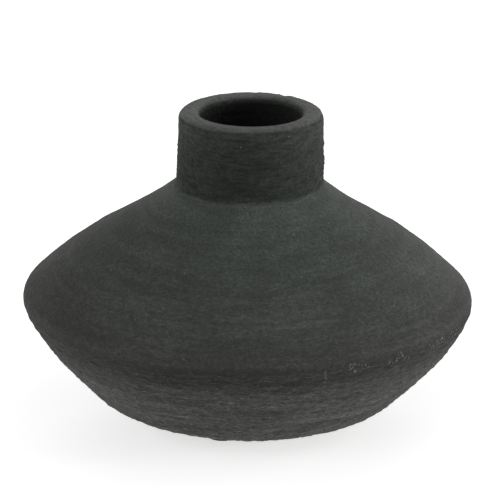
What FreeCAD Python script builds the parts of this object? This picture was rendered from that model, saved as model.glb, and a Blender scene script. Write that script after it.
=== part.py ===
import FreeCAD, Part

import math
import os

# Hand-built black clay pot: a wide, low belly with a blunt edge, a short straight neck and a
# thick flat lip. The maker forms five pieces of clay, lutes them together with slip while they
# are leather hard, and fires them as one. Three self-adhesive felt pads keep the rough foot off
# the table. Nothing on the pot moves.
#
# Millimetres, +Z up. The origin is on the surface the pads stand on, under the pot's axis.
# Every clay piece is a ring or disc about that axis, so each one is a flat section, drawn with
# r along X and height along Z, and turned once round.

# ---- felt pads
PAD_DIAMETER = 10.0
FELT_THICKNESS = 1.3
GLUE_THICKNESS = 0.2
PAD_CIRCLE_RADIUS = 23.3
PAD_ANGLES = {"front_left": -112.7, "right": 7.3, "back_left": 127.3}

# ---- the pot's outside, as corners (radius, height above the foot) and their rounding
FOOT_RADIUS, FOOT_ROUNDING = 32.2, 2.5
KNEE, KNEE_ROUNDING = (49.9, 7.9), 18.0      # where the foot turns up into the bowl
FLARE, FLARE_ROUNDING = (69.1, 27.6), 56.0   # the bowl steepens towards the edge
EDGE, EDGE_ROUNDING = (76.2, 41.7), 5.5      # the belly's blunt edge, its widest place
BROW, BROW_ROUNDING = (60.2, 56.7), 110.0    # the shoulder flattens
NAPE, NAPE_ROUNDING = (33.1, 73.4), 130.0    # and lifts again towards the neck
NECK_FOOT, NECK_FOOT_ROUNDING = (24.5, 80.6), 1.5
POT_HEIGHT = 105.0
LIP_RADIUS, LIP_ROUNDING = 23.9, 2.4

# ---- the pot's inside: the outside's lines moved in by the wall, with their own rounding
MOUTH_RADIUS, MOUTH_ROUNDING = 17.0, 2.2
FLOOR_THICKNESS, FLOOR_ROUNDING = 7.0, 6.0
BOWL_WALL = 6.4
SHOULDER_WALL = 6.0
KNEE_INSIDE_ROUNDING = 14.0
FLARE_INSIDE_ROUNDING = 48.0
EDGE_INSIDE_ROUNDING = 3.0
BROW_INSIDE_ROUNDING = 104.0
NAPE_INSIDE_ROUNDING = 136.0
NECK_INSIDE_ROUNDING = 3.0

# ---- luted joints: where each meets the outer skin, and the way its bevel runs in (degrees)
BASE_JOINT = (39.0, 3.0, 138.0)
BELLY_JOINT = (75.0, 41.3, 196.0)
NECK_JOINT = (25.0, 80.3, 212.0)
LIP_JOINT = (23.9, 96.0, 158.0)
SLIP_THICKNESS = 0.4
SLIP_SETBACK = 1.2       # the skin is pinched shut over the slip
BEAD_RADIUS = 1.4        # slip squeezed out inside, where no finger reaches to wipe it off
PROBE_BEFORE, PROBE_BEYOND = 3.0, 12.0

FOOT_HEIGHT = FELT_THICKNESS + GLUE_THICKNESS
AXIS = FreeCAD.Vector(0, 0, 1)


def at(r, z):
    """A point of the section, z counted from the pot's foot."""
    return FreeCAD.Vector(r, 0, z + FOOT_HEIGHT)


def rounded_path(corners, roundings):
    """Edges through the corners, with a tangent arc of the given radius at each inner one."""
    edges = []
    start = corners[0]
    for before, corner, after, radius in zip(corners, corners[1:], corners[2:], roundings):
        back = (before - corner).normalize()
        ahead = (after - corner).normalize()
        half_angle = back.getAngle(ahead) / 2
        tangent = radius / math.tan(half_angle)
        middle = (back + ahead).normalize() * (radius / math.sin(half_angle) - radius)
        arc_start, arc_end = corner + back * tangent, corner + ahead * tangent
        edges.append(Part.LineSegment(start, arc_start).toShape())
        edges.append(Part.Arc(arc_start, corner + middle, arc_end).toShape())
        start = arc_end
    edges.append(Part.LineSegment(start, corners[-1]).toShape())
    return edges


def crossing(a, b, c, d):
    """Where the line through a and b meets the line through c and d, in the section."""
    ab, cd = b - a, d - c
    share = ((c - a).x * cd.z - (c - a).z * cd.x) / (ab.x * cd.z - ab.z * cd.x)
    return a + ab * share


def moved_in(a, b, wall):
    """The outside's line from a up to b, moved into the clay by the wall's thickness."""
    inward = FreeCAD.Vector(a.z - b.z, 0, b.x - a.x).normalize() * wall
    return a + inward, b + inward


def pot_section():
    """The whole wall as one face: up the outside, over the lip, and down the inside."""
    outside = [at(*c) for c in ((FOOT_RADIUS, 0), KNEE, FLARE, EDGE, BROW, NAPE, NECK_FOOT)]
    walls = [BOWL_WALL] * 3 + [SHOULDER_WALL] * 3
    inner_lines = [moved_in(a, b, wall) for a, b, wall in zip(outside, outside[1:], walls)]
    floor = (at(0, FLOOR_THICKNESS), at(1, FLOOR_THICKNESS))
    mouth = (at(MOUTH_RADIUS, 0), at(MOUTH_RADIUS, POT_HEIGHT))
    lines = [floor, *inner_lines, mouth]
    inside = [crossing(*one, *two) for one, two in zip(lines, lines[1:])]

    corners = [at(0, 0), *outside, at(LIP_RADIUS, POT_HEIGHT), at(MOUTH_RADIUS, POT_HEIGHT),
               *reversed(inside), at(0, FLOOR_THICKNESS)]
    roundings = [FOOT_ROUNDING, KNEE_ROUNDING, FLARE_ROUNDING, EDGE_ROUNDING, BROW_ROUNDING,
                 NAPE_ROUNDING, NECK_FOOT_ROUNDING, LIP_ROUNDING, MOUTH_ROUNDING,
                 NECK_INSIDE_ROUNDING, NAPE_INSIDE_ROUNDING, BROW_INSIDE_ROUNDING,
                 EDGE_INSIDE_ROUNDING, FLARE_INSIDE_ROUNDING, KNEE_INSIDE_ROUNDING,
                 FLOOR_ROUNDING]
    edges = rounded_path(corners, roundings)
    edges.append(Part.LineSegment(corners[-1], corners[0]).toShape())
    return Part.Face(Part.Wire(edges))


def bevel_through(section, joint):
    """The joint's line inside the wall, from the outer skin to the inner one."""
    r, z, angle = joint
    way = FreeCAD.Vector(math.cos(math.radians(angle)), 0, math.sin(math.radians(angle)))
    probe_start = at(r, z) - way * PROBE_BEFORE
    probe = Part.LineSegment(probe_start, at(r, z) + way * PROBE_BEYOND).toShape()
    ends = [vertex.Point for vertex in probe.common(section).Edges[0].Vertexes]
    return sorted(ends, key=lambda end: (end - probe_start).Length)


def slip_layer(outer, inner):
    """The slip between two bevelled faces, from just under the outer skin to the inner one."""
    way = (inner - outer).normalize()
    across = FreeCAD.Vector(-way.z, 0, way.x) * (SLIP_THICKNESS / 2)
    start, end = outer + way * SLIP_SETBACK, inner + way * BEAD_RADIUS / 2
    outline = [start - across, end - across, end + across, start + across, start - across]
    return Part.Face(Part.makePolygon(outline))


def turned(face):
    """The solid that a section sweeps in one turn about the pot's axis."""
    return face.Faces[0].revolve(FreeCAD.Vector(0, 0, 0), AXIS, 360)


def clay_and_slip():
    """The five clay pieces and the slip in the four joints between them."""
    section = pot_section()
    joints = {"base_joint_slip": BASE_JOINT, "belly_joint_slip": BELLY_JOINT,
              "neck_joint_slip": NECK_JOINT, "lip_joint_slip": LIP_JOINT}
    bevels = {name: bevel_through(section, joint) for name, joint in joints.items()}
    layers = {name: slip_layer(*ends) for name, ends in bevels.items()}
    slip = {name: layer.common(section) for name, layer in layers.items()}
    bead_edge = Part.Circle(bevels["belly_joint_slip"][1], FreeCAD.Vector(0, 1, 0), BEAD_RADIUS)
    bead = Part.Face(Part.Wire(bead_edge.toShape())).cut(section)
    slip["belly_joint_slip"] = slip["belly_joint_slip"].fuse(bead).removeSplitter()

    cuts = [Part.LineSegment(*ends).toShape() for ends in bevels.values()]
    faces = sorted(section.generalFuse(cuts)[0].Faces, key=lambda face: face.CenterOfMass.z)
    names = ("base_slab", "lower_bowl", "shoulder", "neck_collar", "lip_coil")
    clay = {name: face.cut(list(layers.values())) for name, face in zip(names, faces)}
    return {name: turned(face) for name, face in {**clay, **slip}.items()}


def felt_pads():
    """Each pad is a felt disc with its own disc of glue, pressed against the pot's foot."""
    pieces = {}
    for place, angle in PAD_ANGLES.items():
        turn = math.radians(angle)
        centre = FreeCAD.Vector(math.cos(turn), math.sin(turn), 0) * PAD_CIRCLE_RADIUS
        radius = PAD_DIAMETER / 2
        pieces["felt_pad_" + place] = Part.makeCylinder(radius, FELT_THICKNESS, centre, AXIS)
        on_felt = centre + AXIS * FELT_THICKNESS
        pieces["pad_glue_" + place] = Part.makeCylinder(radius, GLUE_THICKNESS, on_felt, AXIS)
    return pieces


os.makedirs("parts", exist_ok=True)
for node, solid in {**clay_and_slip(), **felt_pads()}.items():
    solid.exportStep(f"parts/{node}.step")
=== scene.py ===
import math

import bmesh
import bpy
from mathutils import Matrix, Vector


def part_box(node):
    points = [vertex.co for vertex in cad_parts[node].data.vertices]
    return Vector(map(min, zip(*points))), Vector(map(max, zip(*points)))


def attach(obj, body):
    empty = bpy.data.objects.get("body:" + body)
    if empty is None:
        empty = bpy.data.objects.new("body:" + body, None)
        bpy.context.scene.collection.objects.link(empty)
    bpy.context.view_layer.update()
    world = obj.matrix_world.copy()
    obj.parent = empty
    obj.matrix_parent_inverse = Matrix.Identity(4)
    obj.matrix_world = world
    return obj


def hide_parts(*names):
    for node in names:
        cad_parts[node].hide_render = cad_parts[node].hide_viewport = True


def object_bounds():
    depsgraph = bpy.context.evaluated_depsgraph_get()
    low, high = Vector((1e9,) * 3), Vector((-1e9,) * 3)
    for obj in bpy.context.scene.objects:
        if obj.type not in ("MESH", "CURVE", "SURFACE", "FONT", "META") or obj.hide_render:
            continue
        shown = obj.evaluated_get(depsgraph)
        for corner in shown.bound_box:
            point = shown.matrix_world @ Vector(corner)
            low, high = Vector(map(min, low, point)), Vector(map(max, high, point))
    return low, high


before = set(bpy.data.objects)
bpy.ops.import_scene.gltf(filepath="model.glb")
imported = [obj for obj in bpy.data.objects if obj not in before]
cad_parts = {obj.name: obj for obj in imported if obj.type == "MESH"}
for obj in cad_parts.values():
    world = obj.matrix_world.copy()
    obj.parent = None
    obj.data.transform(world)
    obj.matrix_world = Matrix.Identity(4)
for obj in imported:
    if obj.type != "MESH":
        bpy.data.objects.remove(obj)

cadBounds = [list(corner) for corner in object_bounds()]
mm = 0.001
potHeight = cadBounds[1][2] / mm
print("frame loaded,", len(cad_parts), "CAD pieces")

# the wall, by height in mm: how far the outer skin looks up, in degrees, and the radius that
# parts the inside from the outside
wall = {
    "skinLean": {0: -90, 2.2: -74, 9: -60, 13: -48, 27: -43, 36: -27, 41: -22, 43.2: 5, 45.5: 43,
                 57: 48, 64: 57, 74: 56, 80: 47, 82.6: 22, 84.5: 1, 103.2: 1, 105: 45, 107: 90},
    "midWall": {0: 0, 4: 4, 5: 34, 9: 41, 15: 50, 28: 63.5, 41: 71.5, 44: 70, 58: 54, 75: 28,
                81.5: 21, 107: 20.4},
    "midBlend": 0.6,     # inside turns to outside over this much each side of the middle
    "axisGap": 2.5,      # closer in than this, the way out from the axis shortens to nothing
}


def takeUp(piece):
    bpy.ops.object.select_all(action="DESELECT")
    piece.select_set(True)
    bpy.context.view_layer.objects.active = piece


# helpers for node trees, shared by the reliefs and the finishes
def plug(tree, value, socket):
    if isinstance(value, bpy.types.NodeSocket):
        tree.links.new(value, socket)
    else:
        socket.default_value = value


def sums(tree, operation, *values):
    node = tree.nodes.new("ShaderNodeMath")
    node.operation = operation
    for value, socket in zip(values, node.inputs):
        plug(tree, value, socket)
    return node.outputs[0]


def product(tree, first, *others):
    for other in others:
        first = sums(tree, "MULTIPLY", first, other)
    return first


def weighed(tree, *parts):
    # values added up, each times its share
    total = 0.0
    for value, share in parts:
        total = sums(tree, "ADD", total, product(tree, value, share))
    return total


def arrows(tree, operation, *values):
    node = tree.nodes.new("ShaderNodeVectorMath")
    node.operation = operation
    sockets = node.inputs if operation != "SCALE" else (node.inputs[0], node.inputs["Scale"])
    for value, socket in zip(values, sockets):
        plug(tree, value, socket)
    return node.outputs["Value" if operation == "LENGTH" else "Vector"]


def joined(tree, x, y, z):
    node = tree.nodes.new("ShaderNodeCombineXYZ")
    for value, socket in zip((x, y, z), node.inputs):
        plug(tree, value, socket)
    return node.outputs[0]


def between(tree, value, low, high, toLow=0.0, toHigh=1.0, soft=True):
    # toLow up to low, toHigh from high on. low may be the larger of the two
    node = tree.nodes.new("ShaderNodeMapRange")
    node.interpolation_type = "SMOOTHSTEP" if soft else "LINEAR"
    for given, name in ((value, "Value"), (low, "From Min"), (high, "From Max"),
                        (toLow, "To Min"), (toHigh, "To Max")):
        plug(tree, given, node.inputs[name])
    return node.outputs[0]


def cloud(tree, vector, size, detail=2.0, rough=0.5, fourth=None):
    node = tree.nodes.new("ShaderNodeTexNoise")
    node.noise_dimensions = "3D" if fourth is None else "4D"
    plug(tree, vector, node.inputs["Vector"])
    if fourth is not None:
        plug(tree, fourth, node.inputs["W"])
    node.inputs["Scale"].default_value = 1 / size
    node.inputs["Detail"].default_value = detail
    node.inputs["Roughness"].default_value = rough
    return node.outputs[0]


def curveOver(tree, height, points):
    # a smooth curve through points given by height in mm
    values = points.values()
    low, high, top = min(values), max(values), max(points)
    node = tree.nodes.new("ShaderNodeFloatCurve")
    dots = node.mapping.curves[0].points
    while len(dots) < len(points):
        dots.new(0.5, 0.5)
    for dot, (at, value) in zip(dots, points.items()):
        dot.location = (at / top, (value - low) / (high - low))
    node.mapping.update()
    plug(tree, sums(tree, "DIVIDE", height, top), node.inputs["Value"])
    return between(tree, node.outputs[0], 0.0, 1.0, low, high, soft=False)


def placeOnPot(tree, here):
    # all that the patterns need to know of a point, from its place alone, so that pieces
    # that meet carry one pattern across the joint
    point = arrows(tree, "SCALE", here, 1 / mm)
    split = tree.nodes.new("ShaderNodeSeparateXYZ")
    plug(tree, point, split.inputs[0])
    x, y, z = split.outputs
    flat = joined(tree, x, y, 0.0)
    radius = arrows(tree, "LENGTH", flat)
    inner = sums(tree, "SUBTRACT", curveOver(tree, z, wall["midWall"]), radius)
    return {"point": point, "x": x, "y": y, "z": z, "radius": radius,
            "around": arrows(tree, "SCALE", flat, sums(
                tree, "DIVIDE", 1.0, sums(tree, "MAXIMUM", radius, wall["axisGap"]))),
            "inside": between(tree, inner, -wall["midBlend"], wall["midBlend"])}


def streakNoise(tree, place, cells, width, detail=2.0, rough=0.5):
    # long round the pot and narrow across, on the walls and on the flats alike
    turn = arrows(tree, "SCALE", place["around"], cells)
    split = tree.nodes.new("ShaderNodeSeparateXYZ")
    plug(tree, turn, split.inputs[0])
    rise = sums(tree, "DIVIDE", place["z"], width)
    return cloud(tree, joined(tree, split.outputs[0], split.outputs[1], rise), 1.0, detail, rough,
                 sums(tree, "DIVIDE", place["radius"], width))


# the hand's work on the clay: one relief for every clay piece, in mm, and pairs for where a
# mark sets in
handWork = {
    # all over
    "lumpSize": 27.0, "lumpDepth": 0.35,
    "rippleSize": 8.5, "rippleDepth": 0.26,
    "pitSize": 2.0, "pitDepth": 0.26,
    "ringCells": 1.1, "ringWidth": 3.2, "ringDepth": 0.26,
    # scraping round the bowl
    "bowlCells": 17.0, "bowlWidth": 1.4, "bowlDepth": 1.15,
    "bowlTop": (42, 38), "bowlFoot": (1.8, 5),
    # chatter on the neck, fainter near the rim
    "neckCells": 6.0, "neckWidth": 1.3, "neckDepth": 1.4,
    "neckFoot": (80, 84), "neckTop": (104, 91), "neckTopShare": 0.3,
    # finger ridges and dabs inside, up to the throat
    "throwingCells": 0.8, "throwingWidth": 6.5, "throwingDepth": 0.9,
    "dabSize": 6.0, "dabDepth": 0.25, "throat": (92, 84),
    # the foot is flat where the pads are stuck on, and worn at its edge
    "padSeat": (1.5, 4.5), "padSeatShare": 0.08,
    "footWear": 0.5, "wornFrom": (26.5, 31.5), "wornBelow": (5.5, 3.0),
    # the belly tips to one side, by height, and the pot leans a little off its axis
    "tipping": -0.0127,
    "tip": {0: 0.0, 4: 0.0, 20: 0.9, 43: 1.0, 80: 1.0, 107: 0.3},
    "sideways": {0: 0.3, 4: 0.4, 12: -0.5, 20: -0.6, 28: -0.35, 48: -0.7, 57: -0.35, 75: 0.0,
                 83: 0.25, 107: 0.5},
    "girthFrom": (4, 26),
    "girth": {0: -1.3, 2.5: -1.3, 6: -0.75, 20: -0.1, 28: -0.3, 37: 0.0, 47: 0.0, 60: -0.3,
              80: -0.3, 84: -0.1, 107: -0.05},
    # knocks and pressed lumps: (angle round the pot, radius, height), width, depth
    "marks": [((157, 52.5, 64), 5.0, 0.25), ((158, 59.5, 59), 4.0, -0.25),
              ((190, 66, 26), 6.0, 0.3), ((22, 44, 69), 6.0, 0.3), ((23, 54, 63), 5.0, 0.25),
              ((24, 61, 57), 4.5, -0.3), ((-9, 66, 27), 5.0, 0.3), ((-131, 35, 3), 3.0, -0.5),
              ((-118, 34, 2.5), 2.5, 0.35), ((-52, 76, 42), 2.6, -0.5), ((-45, 76, 43), 1.8, -0.4),
              ((-58, 76, 42.5), 1.6, -0.35), ((-95, 75.5, 42.5), 3.5, -0.2),
              ((95, 76, 43), 3.0, -0.4), ((60, 22, 106), 2.2, -0.35),
              ((-150, 21, 106.5), 2.0, -0.3)],
}


def newRelief(name, offsetOf):
    # a node group that moves every point of a piece by what offsetOf works out for its place
    tree = bpy.data.node_groups.new(name, "GeometryNodeTree")
    for way in ("INPUT", "OUTPUT"):
        tree.interface.new_socket("Geometry", in_out=way, socket_type="NodeSocketGeometry")
    start, end = tree.nodes.new("NodeGroupInput"), tree.nodes.new("NodeGroupOutput")
    here = tree.nodes.new("GeometryNodeInputPosition").outputs[0]
    put = tree.nodes.new("GeometryNodeSetPosition")
    plug(tree, start.outputs[0], put.inputs["Geometry"])
    plug(tree, offsetOf(tree, here), put.inputs["Offset"])
    plug(tree, put.outputs[0], end.inputs[0])
    return tree


def layer(tree, noise, *depths):
    # noise runs from 0 to 1, so half of its layer is raised and half sunk
    return product(tree, sums(tree, "SUBTRACT", noise, 0.5), *depths)


def marksOutside(tree, place):
    s, z, point = handWork, place["z"], place["point"]
    bowl = product(tree, between(tree, z, *s["bowlTop"]), between(tree, z, *s["bowlFoot"]))
    neck = product(tree, between(tree, z, *s["neckFoot"]),
                   between(tree, z, *s["neckTop"], s["neckTopShare"], 1.0))
    total = layer(tree, cloud(tree, point, s["lumpSize"], 1.0), s["lumpDepth"])
    layers = [
        layer(tree, cloud(tree, point, s["rippleSize"], 2.0), s["rippleDepth"]),
        layer(tree, cloud(tree, point, s["pitSize"], 1.0), s["pitDepth"]),
        layer(tree, streakNoise(tree, place, s["ringCells"], s["ringWidth"], 1.0),
              s["ringDepth"]),
        layer(tree, streakNoise(tree, place, s["bowlCells"], s["bowlWidth"], 1.0),
              s["bowlDepth"], bowl),
        layer(tree, streakNoise(tree, place, s["neckCells"], s["neckWidth"], 1.0),
              s["neckDepth"], neck),
    ]
    for (angle, far, height), width, depth in s["marks"]:
        turn = math.radians(angle)
        spot = (far * math.cos(turn), far * math.sin(turn), height)
        gap = arrows(tree, "LENGTH", arrows(tree, "SUBTRACT", point, spot))
        layers.append(between(tree, gap, 0.0, width, depth, 0.0))
    for one in layers:
        total = sums(tree, "ADD", total, one)
    return total


def marksInside(tree, place):
    s, point = handWork, place["point"]
    ridges = streakNoise(tree, place, s["throwingCells"], s["throwingWidth"], 1.0)
    ridges = sums(tree, "ADD", layer(tree, ridges, s["throwingDepth"]),
                  layer(tree, cloud(tree, point, s["dabSize"], 2.0), s["dabDepth"]))
    return sums(tree, "ADD", product(tree, ridges, between(tree, place["z"], *s["throat"])),
                layer(tree, cloud(tree, point, s["lumpSize"], 1.0), s["lumpDepth"]))


def handOffset(tree, here):
    s = handWork
    place = placeOnPot(tree, here)
    z, radius = place["z"], place["radius"]
    depth = tree.nodes.new("ShaderNodeMix")
    plug(tree, place["inside"], depth.inputs[0])
    plug(tree, marksOutside(tree, place), depth.inputs[2])
    plug(tree, marksInside(tree, place), depth.inputs[3])
    foot = between(tree, z, *s["padSeat"], s["padSeatShare"], 1.0)

    # out along the way that the skin faces at this height
    lean = sums(tree, "RADIANS", curveOver(tree, z, wall["skinLean"]))
    outward = arrows(tree, "SCALE", place["around"], sums(tree, "COSINE", lean))
    outward = arrows(tree, "ADD", outward, joined(tree, 0.0, 0.0, sums(tree, "SINE", lean)))
    move = arrows(tree, "SCALE", outward, product(tree, depth.outputs[0], foot))

    # the whole wall's own unevenness
    tip = product(tree, curveOver(tree, z, s["tip"]), s["tipping"], place["x"])
    wear = product(tree, between(tree, radius, *s["wornFrom"], 0.0, s["footWear"]),
                   between(tree, z, *s["wornBelow"]))
    drift = joined(tree, curveOver(tree, z, s["sideways"]), 0.0, sums(tree, "ADD", tip, wear))
    girth = product(tree, curveOver(tree, z, s["girth"]), between(tree, radius, *s["girthFrom"]))
    drift = arrows(tree, "ADD", drift, arrows(tree, "SCALE", place["around"], girth))
    return arrows(tree, "SCALE", arrows(tree, "ADD", move, drift), mm)


handRelief = newRelief("handRelief", handOffset)
print("relief made")

# every piece is its CAD node's section, divided finely and spun round an axis
turning = {"claySteps": 600, "slipSteps": 200, "skinSpacing": 0.7, "innerSpacing": 2.6,
           "sharpAngle": 35, "meshWeld": 1e-6, "seamWeld": 1.5e-6}


def sectionOf(node, name, centre=(0, 0, 0)):
    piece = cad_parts[node].copy()
    piece.data = piece.data.copy()
    piece.name = name
    piece.data.name = name
    for key in list(piece.keys()):
        del piece[key]
    piece.parent = None
    piece.hide_render = False
    piece.data.materials.clear()
    bpy.context.collection.objects.link(piece)
    takeUp(piece)
    bpy.ops.object.mode_set(mode="EDIT")
    bpy.ops.mesh.select_all(action="SELECT")
    bpy.ops.mesh.remove_doubles(threshold=turning["meshWeld"])
    bpy.ops.mesh.bisect(plane_co=centre, plane_no=(0, 1, 0), clear_inner=True,
                        clear_outer=True)
    bpy.ops.mesh.select_all(action="SELECT")
    bpy.ops.mesh.bisect(plane_co=centre, plane_no=(1, 0, 0), clear_inner=True)
    return piece


def midWallAt(height):
    heights = sorted(wall["midWall"])
    for low, high in zip(heights, heights[1:]):
        if height <= high:
            share = (height - low) / (high - low)
            return wall["midWall"][low] * (1 - share) + wall["midWall"][high] * share
    return wall["midWall"][heights[-1]]


def divideFinely(piece, evenSpacing=None):
    # edges on the outer skin are cut shorter than those inside, and a tenth over is let be
    while True:
        mesh = bmesh.from_edit_mesh(piece.data)
        cuts = {}
        for edge in mesh.edges:
            middle = (edge.verts[0].co + edge.verts[1].co) / 2 / mm
            side = "skinSpacing" if middle.x > midWallAt(middle.z) else "innerSpacing"
            spacing = evenSpacing or turning[side]
            cuts[edge] = math.ceil(edge.calc_length() / mm / spacing - 0.1) - 1
        most = max(cuts.values())
        if most < 1:
            break
        bpy.ops.mesh.select_all(action="DESELECT")
        for edge, count in cuts.items():
            edge.select_set(count == most)
        bmesh.update_edit_mesh(piece.data)
        bpy.ops.mesh.subdivide(number_cuts=most)


def turnedPiece(node, name, steps, relief, centre=(0, 0, 0), evenSpacing=None, wear=0):
    piece = sectionOf(node, name, centre)
    divideFinely(piece, evenSpacing)
    bpy.ops.mesh.select_all(action="SELECT")
    bpy.ops.mesh.spin(steps=steps, angle=2 * math.pi, center=centre, axis=(0, 0, 1))
    bpy.ops.mesh.select_all(action="SELECT")
    bpy.ops.mesh.remove_doubles(threshold=turning["seamWeld"])
    bpy.ops.mesh.normals_make_consistent(inside=False)
    bpy.ops.object.mode_set(mode="OBJECT")
    if wear:
        worn = piece.modifiers.new("worn edge", "SMOOTH")
        worn.iterations = wear
        bpy.ops.object.modifier_apply(modifier=worn.name)
    modifier = piece.modifiers.new("hand relief", "NODES")
    modifier.node_group = relief
    bpy.ops.object.modifier_apply(modifier=modifier.name)
    bpy.ops.object.shade_smooth_by_angle(angle=math.radians(turning["sharpAngle"]))
    return piece


def settle(piece, node, finish):
    piece.data.materials.clear()
    piece.data.materials.append(finish)
    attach(piece, "root")
    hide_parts(node)


# the clay's look. Noises: size in mm, detail, roughness. Streaks: waves round the pot, width
# in mm, detail, roughness
clayLook = {
    "noises": {"grain": (0.45, 3.0, 0.65), "mottle": (1.7, 3.0, 0.7), "patches": (17.0, 2.0, 0.5),
               "drift": (30.0, 1.0, 0.5)},
    "streaks": {"scraped": (24.0, 0.8, 4.0, 0.75), "wiped": (36.0, 1.0, 3.0, 0.7),
                "broad": (2.5, 2.4, 2.0, 0.5), "chatter": (6.0, 0.95, 2.0, 0.55),
                "flecks": (62.0, 0.5, 1.0, 0.5)},
    "bowlTop": (42, 39.5), "neckFoot": (79, 83),
    "shade": (0.0380, 0.0427, 0.0377), "pale": (0.096, 0.107, 0.0955),
    "bowlShade": (0.0190, 0.0193, 0.0177), "bowlPale": (0.122, 0.123, 0.111),
    "dust": (0.152, 0.160, 0.146), "gritPale": (0.22, 0.22, 0.21),
    "grainDark": (0.006, 0.0063, 0.006), "soot": (0.004, 0.0042, 0.004),
    # tints over the shoulder's grey: greenish and olive in turn, warm down by the edge
    "greenish": (0.98, 1.01, 0.995), "olive": (1.025, 1.01, 0.95), "warm": (1.0, 0.91, 0.95),
    "oliveWander": 90.0, "oliveFrom": (22.0, -18.0), "warmBelow": (66, 44),
    # how far below the top the rim's dust ends, and where the painted shade inside the mouth begins
    # and is full
    "rimDepth": (1.4, 0.2), "mouthShadeDepth": (0.9, 2.1), "mouthShadeWander": 1.2,
    "gritSize": 2.6,
    # painted light and shade by height: paler towards the foot and just under the neck, darker at
    # the belly's edge and on the neck
    "tone": {0: 1.5, 6: 1.7, 10: 1.25, 14.5: 0.92, 19: 1.02, 25: 0.95, 34: 0.56, 39.5: 0.41,
             44: 0.88, 50: 1.0, 70: 1.0, 80: 1.2, 82: 0.68, 84: 0.33, 101: 0.42, 107: 0.8},
    "roughness": 0.88, "roughSwing": 0.06,
    "specular": 0.15, "sheen": 0.05, "sheenRoughness": 0.6,
    "bumps": {"grain": 0.16, "mottle": 0.36, "wiped": 0.2, "scraped": 0.75, "flecks": 0.14,
              "chatter": 1.2, "chips": 0.2},
}

# chips along the belly's edge and one short scratch below it, at the front right
edgeWear = {
    "chipSize": 0.9, "chipCut": (0.55, 0.64), "clusterSize": 7.0, "clusterCut": (0.45, 0.56),
    "chipsAbove": (38.0, 39.5), "chipsBelow": (43, 41.5),
    "chipsRightOf": (14, 40), "chipsInFrontOf": (-14, -42),
    "scratchAt": 25.2, "scratchWander": 2.2, "scratchWidth": (0.4, 0.1),
    "scratchAbove": (34.5, 36), "scratchBelow": (41.5, 40.5), "scratchInFrontOf": (-50, -55),
    "paleness": 0.75,
}


def mixed(tree, share, first, second):
    node = tree.nodes.new("ShaderNodeMix")
    node.data_type = "RGBA"
    plug(tree, share, node.inputs[0])
    for value, socket in ((first, node.inputs[6]), (second, node.inputs[7])):
        plug(tree, (*value, 1.0) if isinstance(value, tuple) else value, socket)
    return node.outputs[2]


def newFinish(name):
    finish = bpy.data.materials.new(name)
    finish.use_nodes = True
    tree = finish.node_tree
    here = tree.nodes.new("ShaderNodeTexCoord").outputs["Object"]
    return finish, tree, here, tree.nodes["Principled BSDF"]


def raised(tree, height, depth, below=None):
    node = tree.nodes.new("ShaderNodeBump")
    node.inputs["Strength"].default_value = 1.0
    node.inputs["Distance"].default_value = depth * mm
    plug(tree, height, node.inputs["Height"])
    if below is not None:
        plug(tree, below, node.inputs["Normal"])
    return node.outputs[0]


def shoulderColour(tree, place, noise, neck):
    # fine mottling, with painted light and shade: the neck is paler on the chatter's ridges, darker
    # in its hollows and paler to the right, and the left of the shoulder is darker
    s, x = clayLook, place["x"]
    tone = weighed(tree, (noise["wiped"], 0.50), (noise["patches"], 0.22), (noise["broad"], 0.28))
    colour = mixed(tree, between(tree, tone, 0.38, 0.80), s["shade"], s["pale"])
    # painted light and shade on the neck: paler on the chatter's ridges, darker in its hollows,
    # paler towards the right
    for change in (between(tree, noise["chatter"], 0.3, 0.7, -0.28, 0.42),
                   between(tree, x, 2, 22, -0.03, 0.09)):
        neckPaintedLight = sums(tree, "ADD", 1.0, product(tree, neck, change))
        colour = arrows(tree, "SCALE", colour, neckPaintedLight)
    flecked = sums(tree, "ADD", between(tree, noise["flecks"], 0.56, 0.74, 1.0, 1.45),
                   between(tree, noise["flecks"], 0.42, 0.28, 0.0, -0.3))
    colour = arrows(tree, "SCALE", colour, flecked)
    # painted shade: the left side of the shoulder, neck and rim darker
    colour = arrows(tree, "SCALE", colour, between(tree, x, -62, -24, 0.80, 1.05))
    wander = product(tree, noise["drift"], s["oliveWander"])
    olive = between(tree, sums(tree, "ADD", x, wander), *s["oliveFrom"])
    colour = arrows(tree, "MULTIPLY", colour, mixed(tree, olive, s["greenish"], s["olive"]))
    warm = between(tree, place["z"], *s["warmBelow"])
    return arrows(tree, "MULTIPLY", colour, mixed(tree, warm, (1.0, 1.0, 1.0), s["warm"]))


def bowlColour(tree, place, noise):
    # dry streaks that run round the bowl, with flecks dragged up and pits dragged out
    s = clayLook
    lines = weighed(tree, (noise["scraped"], 0.50), (noise["broad"], 0.28), (noise["mottle"], 0.22))
    colour = mixed(tree, between(tree, lines, 0.39, 0.78), s["bowlShade"], s["bowlPale"])
    flecked = sums(tree, "ADD", between(tree, noise["flecks"], 0.55, 0.70, 1.06, 2.1),
                   between(tree, noise["flecks"], 0.44, 0.30, 0.0, -0.5))
    colour = arrows(tree, "SCALE", colour, flecked)
    # painted light: the bowl paler towards its left and right sides
    sideForPaintedLight = sums(tree, "ABSOLUTE", place["x"])
    return arrows(tree, "SCALE", colour, between(tree, sideForPaintedLight, 25, 62, 1.07, 1.17))


def gritSpots(tree, point):
    # a pale grain in some of the cells
    cells = tree.nodes.new("ShaderNodeTexVoronoi")
    plug(tree, point, cells.inputs["Vector"])
    cells.inputs["Scale"].default_value = 1 / clayLook["gritSize"]
    chosen = tree.nodes.new("ShaderNodeSeparateColor")
    plug(tree, cells.outputs["Color"], chosen.inputs[0])
    return product(tree, between(tree, cells.outputs["Distance"], 0.12, 0.06),
                   between(tree, chosen.outputs[0], 0.80, 0.95))


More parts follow.
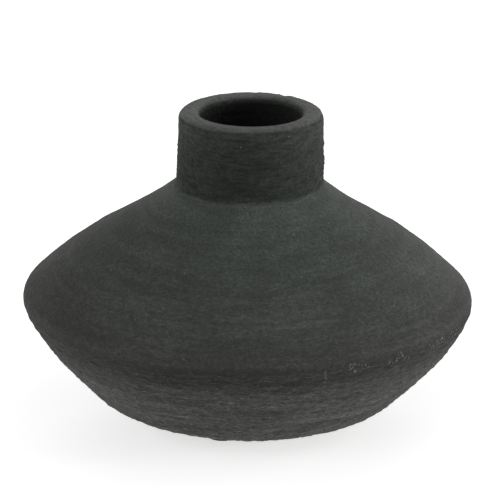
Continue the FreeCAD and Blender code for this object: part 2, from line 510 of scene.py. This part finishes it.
def edgeChips(tree, place):
    s, z, point = edgeWear, place["z"], place["point"]
    return product(
        tree, between(tree, z, *s["chipsAbove"]), between(tree, z, *s["chipsBelow"]),
        between(tree, place["x"], *s["chipsRightOf"]),
        between(tree, place["y"], *s["chipsInFrontOf"]),
        between(tree, cloud(tree, point, s["chipSize"], 2.0, 0.6), *s["chipCut"]),
        between(tree, cloud(tree, point, s["clusterSize"]), *s["clusterCut"]))


def edgeScratch(tree, place, noise):
    s, z = edgeWear, place["z"]
    along = sums(tree, "ADD", place["x"], product(tree, noise["mottle"], s["scratchWander"]))
    away = sums(tree, "ABSOLUTE", sums(tree, "SUBTRACT", along, s["scratchAt"]))
    return product(
        tree, between(tree, z, *s["scratchAbove"]), between(tree, z, *s["scratchBelow"]),
        between(tree, away, *s["scratchWidth"]),
        between(tree, place["y"], *s["scratchInFrontOf"]),
        between(tree, noise["grain"], 0.4, 0.6, 0.0, 0.5))


def blackClay():
    s = clayLook
    finish, tree, here, shader = newFinish("blackClay")
    place = placeOnPot(tree, here)
    z, point = place["z"], place["point"]
    bowl, neck = between(tree, z, *s["bowlTop"]), between(tree, z, *s["neckFoot"])
    noise = {name: cloud(tree, point, *how) for name, how in s["noises"].items()}
    for name, how in s["streaks"].items():
        noise[name] = streakNoise(tree, place, *how)
    mottle, grain = noise["mottle"], noise["grain"]

    colour = mixed(tree, bowl, shoulderColour(tree, place, noise, neck),
                   bowlColour(tree, place, noise))
    # painted light and shade by height over the clay's colour
    colour = arrows(tree, "SCALE", colour, curveOver(tree, z, s["tone"]))
    # the rim is handled most and is dusty, and its front is darker as painted shade
    rimDustAndShade = product(tree, between(tree, z, *(potHeight - depth for depth in s["rimDepth"])),
                  between(tree, mottle, 0.25, 0.6, 0.45, 0.9),
                  between(tree, place["y"], -20, -6, 0.74, 1.0))
    colour = mixed(tree, rimDustAndShade, colour, s["dust"])
    colour = mixed(tree, product(tree, gritSpots(tree, point), 0.55), colour, s["gritPale"])
    chips = edgeChips(tree, place)
    worn = sums(tree, "MAXIMUM", chips, edgeScratch(tree, place, noise))
    colour = mixed(tree, product(tree, worn, edgeWear["paleness"]), colour, s["gritPale"])
    # painted shade inside the mouth, dark from a little below the lip
    edgeOfMouthShade = sums(tree, "ADD", z, product(tree, mottle, s["mouthShadeWander"]))
    mouthShaded = between(tree, edgeOfMouthShade, *(potHeight - depth for depth in s["mouthShadeDepth"]))
    colour = mixed(tree, product(tree, place["inside"], mouthShaded), colour, s["soot"])
    colour = mixed(tree, between(tree, grain, 0.35, 0.7, 0.0, 0.3), colour, s["grainDark"])
    plug(tree, colour, shader.inputs["Base Color"])

    low, high = s["roughness"] - s["roughSwing"], s["roughness"] + s["roughSwing"]
    plug(tree, between(tree, mottle, 0.3, 0.7, low, high), shader.inputs["Roughness"])
    shader.inputs["Specular IOR Level"].default_value = s["specular"]
    shader.inputs["Sheen Weight"].default_value = s["sheen"]
    shader.inputs["Sheen Roughness"].default_value = s["sheenRoughness"]

    # the scraping is faint above the bowl, and the chatter is on the neck alone
    noise["scraped"] = product(tree, noise["scraped"], weighed(tree, (bowl, 0.8), (1.0, 0.2)))
    noise["chatter"] = product(tree, noise["chatter"], neck)
    noise["chips"] = chips
    normal = None
    for name, depth in s["bumps"].items():
        normal = raised(tree, noise[name], depth, normal)
    plug(tree, normal, shader.inputs["Normal"])
    return finish


padLook = {
    "feltHair": 0.16, "feltTuft": 0.7, "feltHairBump": 0.08, "feltTuftBump": 0.15,
    "feltDark": (0.005, 0.005, 0.0052), "feltPale": (0.026, 0.0255, 0.025),
    "feltTuftColour": (0.014, 0.014, 0.014), "feltSpecular": 0.2, "feltSheen": 0.1,
    "glueSmear": 1.4, "glueBump": 0.03,
    "glueDark": (0.42, 0.38, 0.28), "gluePale": (0.62, 0.58, 0.46),
}


def blackFelt():
    s = padLook
    finish, tree, here, shader = newFinish("blackFelt")
    point = arrows(tree, "SCALE", here, 1 / mm)
    hair = cloud(tree, point, s["feltHair"], 4.0, 0.7)
    tufts = cloud(tree, point, s["feltTuft"], 3.0, 0.6)
    colour = mixed(tree, between(tree, hair, 0.35, 0.7), s["feltDark"], s["feltPale"])
    tufted = between(tree, tufts, 0.4, 0.7, 0.0, 0.5)
    plug(tree, mixed(tree, tufted, colour, s["feltTuftColour"]), shader.inputs["Base Color"])
    plug(tree, between(tree, hair, 0.3, 0.7, 0.9, 1.0), shader.inputs["Roughness"])
    shader.inputs["Specular IOR Level"].default_value = s["feltSpecular"]
    shader.inputs["Sheen Weight"].default_value = s["feltSheen"]
    normal = raised(tree, tufts, s["feltTuftBump"], raised(tree, hair, s["feltHairBump"]))
    plug(tree, normal, shader.inputs["Normal"])
    return finish


def glueFilm():
    s = padLook
    finish, tree, here, shader = newFinish("glueFilm")
    smear = cloud(tree, arrows(tree, "SCALE", here, 1 / mm), s["glueSmear"], 3.0, 0.55)
    plug(tree, mixed(tree, between(tree, smear, 0.35, 0.7), s["glueDark"], s["gluePale"]),
         shader.inputs["Base Color"])
    plug(tree, between(tree, smear, 0.3, 0.7, 0.28, 0.5), shader.inputs["Roughness"])
    plug(tree, raised(tree, smear, s["glueBump"]), shader.inputs["Normal"])
    return finish


clayFinish = blackClay()
feltFinish = blackFelt()
glueFinish = glueFilm()
print("finishes made")

# the five clay pieces, and the slip in the joints between them
turnedNodes = {
    "base_slab": "baseSlab", "lower_bowl": "lowerBowl", "shoulder": "shoulderWall",
    "neck_collar": "neckCollar", "lip_coil": "lipCoil", "base_joint_slip": "baseJointSlip",
    "belly_joint_slip": "bellyJointSlip", "neck_joint_slip": "neckJointSlip",
    "lip_joint_slip": "lipJointSlip",
}
for node, name in turnedNodes.items():
    steps = turning["slipSteps" if "slip" in node else "claySteps"]
    settle(turnedPiece(node, name, steps, handRelief), node, clayFinish)
print("clay turned")

# felt pads and their glue, worn round at the edge
pads = {"steps": 150, "spacing": 0.3, "feltWear": 4, "glueWear": 1, "feltSink": 1.0,
        "glueSink": 0.12, "tuftSize": 1.1, "tuftDepth": 0.16, "hairSize": 0.35, "hairDepth": 0.12}


def sunk(tree, here, share):
    # the surface sinks unevenly, never past the size it was cut to
    point = arrows(tree, "SCALE", here, 1 / mm)
    depth = weighed(tree, (cloud(tree, point, pads["tuftSize"]), pads["tuftDepth"]),
                    (cloud(tree, point, pads["hairSize"]), pads["hairDepth"]))
    outward = tree.nodes.new("GeometryNodeInputNormal").outputs[0]
    return arrows(tree, "SCALE", outward, product(tree, depth, -share * mm))


feltRelief = newRelief("feltRelief", lambda tree, here: sunk(tree, here, pads["feltSink"]))
glueRelief = newRelief("glueRelief", lambda tree, here: sunk(tree, here, pads["glueSink"]))
for place in ("front_left", "right", "back_left"):
    tag = "".join(word.title() for word in place.split("_"))
    for node, name, relief, finish, wear in (
            ("felt_pad_" + place, "feltPad" + tag, feltRelief, feltFinish, pads["feltWear"]),
            ("pad_glue_" + place, "padGlue" + tag, glueRelief, glueFinish, pads["glueWear"])):
        low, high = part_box(node)
        piece = turnedPiece(node, name, pads["steps"], relief, (low + high) / 2,
                            pads["spacing"], wear)
        settle(piece, node, finish)
print("pads made")

# the studio: a pale floor lit from beneath, soft lights behind and to the sides, the camera
studio = {
    "floorSize": 8.0, "floorColour": (0.86, 0.86, 0.86), "floorSpeckle": 0.98,
    "speckleSize": 0.3, "floorRoughness": 0.9, "floorGlow": 0.6, "ambient": 0.35,
    # metres, and degrees above the floor
    "cameraDistance": 1.3, "cameraRise": 18.27, "lookHeight": 0.0581, "lookAside": 0.00017,
    "lens": 280.8, "sensor": 36, "nearest": 0.05, "farthest": 30,
    # name: (place, size, power in watts)
    "lights": {
        "behind": ((0.0, 2.5, 0.85), 1.6, 17.0),
        "right": ((2.1, 0.0, 0.85), 1.5, 11.5),
        "lowRight": ((2.2, -0.35, 0.32), 0.6, 24.0),
        "left": ((-2.1, 0.0, 0.85), 1.5, 4.5),
        "leftFront": ((-1.5, -1.5, 0.85), 1.5, 14.0),
    },
}


def paleFloor():
    s = studio
    finish, tree, here, shader = newFinish("paleFloor")
    speckled = tuple(s["floorSpeckle"] * part for part in s["floorColour"])
    plug(tree, mixed(tree, cloud(tree, here, s["speckleSize"]), s["floorColour"], speckled),
         shader.inputs["Base Color"])
    shader.inputs["Roughness"].default_value = s["floorRoughness"]
    shader.inputs["Emission Color"].default_value = (1, 1, 1, 1)
    shader.inputs["Emission Strength"].default_value = s["floorGlow"]
    return finish


bpy.ops.object.select_all(action="DESELECT")
bpy.ops.mesh.primitive_plane_add(size=studio["floorSize"], location=(0, 0, 0))
floor = bpy.context.object
floor.name = "floor"
floor.data.materials.append(paleFloor())

aim = Vector((studio["lookAside"], 0, studio["lookHeight"]))
for name, (spot, size, power) in studio["lights"].items():
    bpy.ops.object.light_add(type="AREA", location=spot)
    lamp = bpy.context.object
    lamp.name = name + "Light"
    lamp.data.shape = "DISK"
    lamp.data.size = size
    lamp.data.energy = power
    lamp.rotation_euler = (aim - lamp.location).to_track_quat("-Z", "Y").to_euler()

world = bpy.data.worlds.new("studioAir")
bpy.context.scene.world = world
world.use_nodes = True
air = world.node_tree.nodes["Background"]
air.inputs["Color"].default_value = (1, 1, 1, 1)
air.inputs["Strength"].default_value = studio["ambient"]

rise = math.radians(studio["cameraRise"])
back = Vector((0, -math.cos(rise), math.sin(rise)))
bpy.ops.object.camera_add(location=aim + back * studio["cameraDistance"])
camera = bpy.context.object
camera.rotation_euler = (-back).to_track_quat("-Z", "Y").to_euler()
camera.data.lens = studio["lens"]
camera.data.sensor_width = studio["sensor"]
camera.data.clip_start, camera.data.clip_end = studio["nearest"], studio["farthest"]
bpy.context.scene.camera = camera
bpy.context.scene.view_settings.view_transform = "Standard"
print("studio set")
